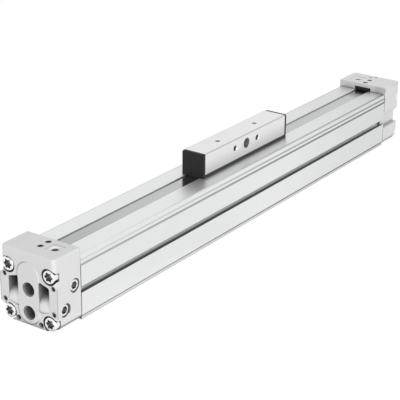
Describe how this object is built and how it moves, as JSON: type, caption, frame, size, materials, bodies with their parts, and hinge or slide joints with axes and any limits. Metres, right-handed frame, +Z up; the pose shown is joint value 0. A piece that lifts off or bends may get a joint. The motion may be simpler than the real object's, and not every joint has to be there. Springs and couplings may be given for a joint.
{
  "type": "rodless pneumatic cylinder",
  "caption": "Band-sealed rodless air cylinder: a slotted aluminium barrel between two cast end caps, with a carriage on top driven by an inner piston.",
  "frame": {"origin": "bottom centre of the whole cylinder, midway between the two caps and their sides", "axes": "+X along the stroke from the ported near cap to the far cap, +Y towards the rear, +Z up through the carriage's top"},
  "size_m": [0.462, 0.0494, 0.0648],
  "materials": {
    "profile": "clear anodised extrusion, fine satin",
    "cast_cap": "die cast, light satin",
    "carriage_metal": "milled and anodised, satin",
    "band_steel": "cold rolled spring steel strip",
    "screw_steel": "zinc plated screw heads",
    "inner_plastic": "extruded sealing strip",
    "black_plastic": "moulded, fine matt texture",
    "bearing_plastic": "machined bearing plastic",
    "piston_metal": "turned, bright",
    "seal_rubber": "moulded rubber",
    "brass": "turned brass",
    "magnet_ferrite": "plastic bonded magnet, matt"
  },
  "bodies": {
    "cylinder": {"barrel": "profile", "near_end_cap": "cast_cap", "far_end_cap": "cast_cap", "far_port_plugs": "screw_steel", "cover_band": "band_steel", "inner_band": "inner_plastic", "near_cap_screws": "screw_steel", "near_cap_gasket": "seal_rubber", "near_spigot_o_ring": "seal_rubber", "near_cushion_sleeve": "brass", "near_channel_plug": "screw_steel", "near_band_clamp": "black_plastic", "near_clamp_grub_screws": "screw_steel", "near_end_buffer": "seal_rubber", "far_cap_screws": "screw_steel", "far_cap_gasket": "seal_rubber", "far_spigot_o_ring": "seal_rubber", "far_cushion_sleeve": "brass", "far_channel_plug": "screw_steel", "far_band_clamp": "black_plastic", "far_clamp_grub_screws": "screw_steel", "far_end_buffer": "seal_rubber"},
    "carriage": {"carriage_body": "carriage_metal", "yoke": "piston_metal", "yoke_screws": "screw_steel", "foot_screws": "screw_steel", "piston_core": "piston_metal", "front_seal_strip": "black_plastic", "rear_seal_strip": "black_plastic", "near_piston": "piston_metal", "near_piston_seal": "seal_rubber", "near_guide_ring": "bearing_plastic", "near_cushion_seal": "seal_rubber", "near_magnet": "magnet_ferrite", "near_end_plate": "black_plastic", "near_band_shoe": "black_plastic", "far_piston": "piston_metal", "far_piston_seal": "seal_rubber", "far_guide_ring": "bearing_plastic", "far_cushion_seal": "seal_rubber", "far_magnet": "magnet_ferrite", "far_end_plate": "black_plastic", "far_band_shoe": "black_plastic"},
    "near_needle": {"near_cushion_screw": "screw_steel"},
    "far_needle": {"far_cushion_screw": "screw_steel"}
  },
  "joints": [
    {"name": "carriage_slide", "type": "slide", "parent": "cylinder", "child": "carriage", "axis": [1, 0, 0], "range_m": [-0.132, 0.118], "deforming": ["cover_band", "inner_band"]},
    {"name": "near_cushion_adjust", "type": "hinge", "parent": "cylinder", "child": "near_needle", "pos_m": [-0.2118, 0, 0.0277], "axis": [0, -1, 0], "range_deg": [0, 1080]},
    {"name": "far_cushion_adjust", "type": "hinge", "parent": "cylinder", "child": "far_needle", "pos_m": [0.2118, 0, 0.0277], "axis": [0, 1, 0], "range_deg": [0, 1080]}
  ]
}
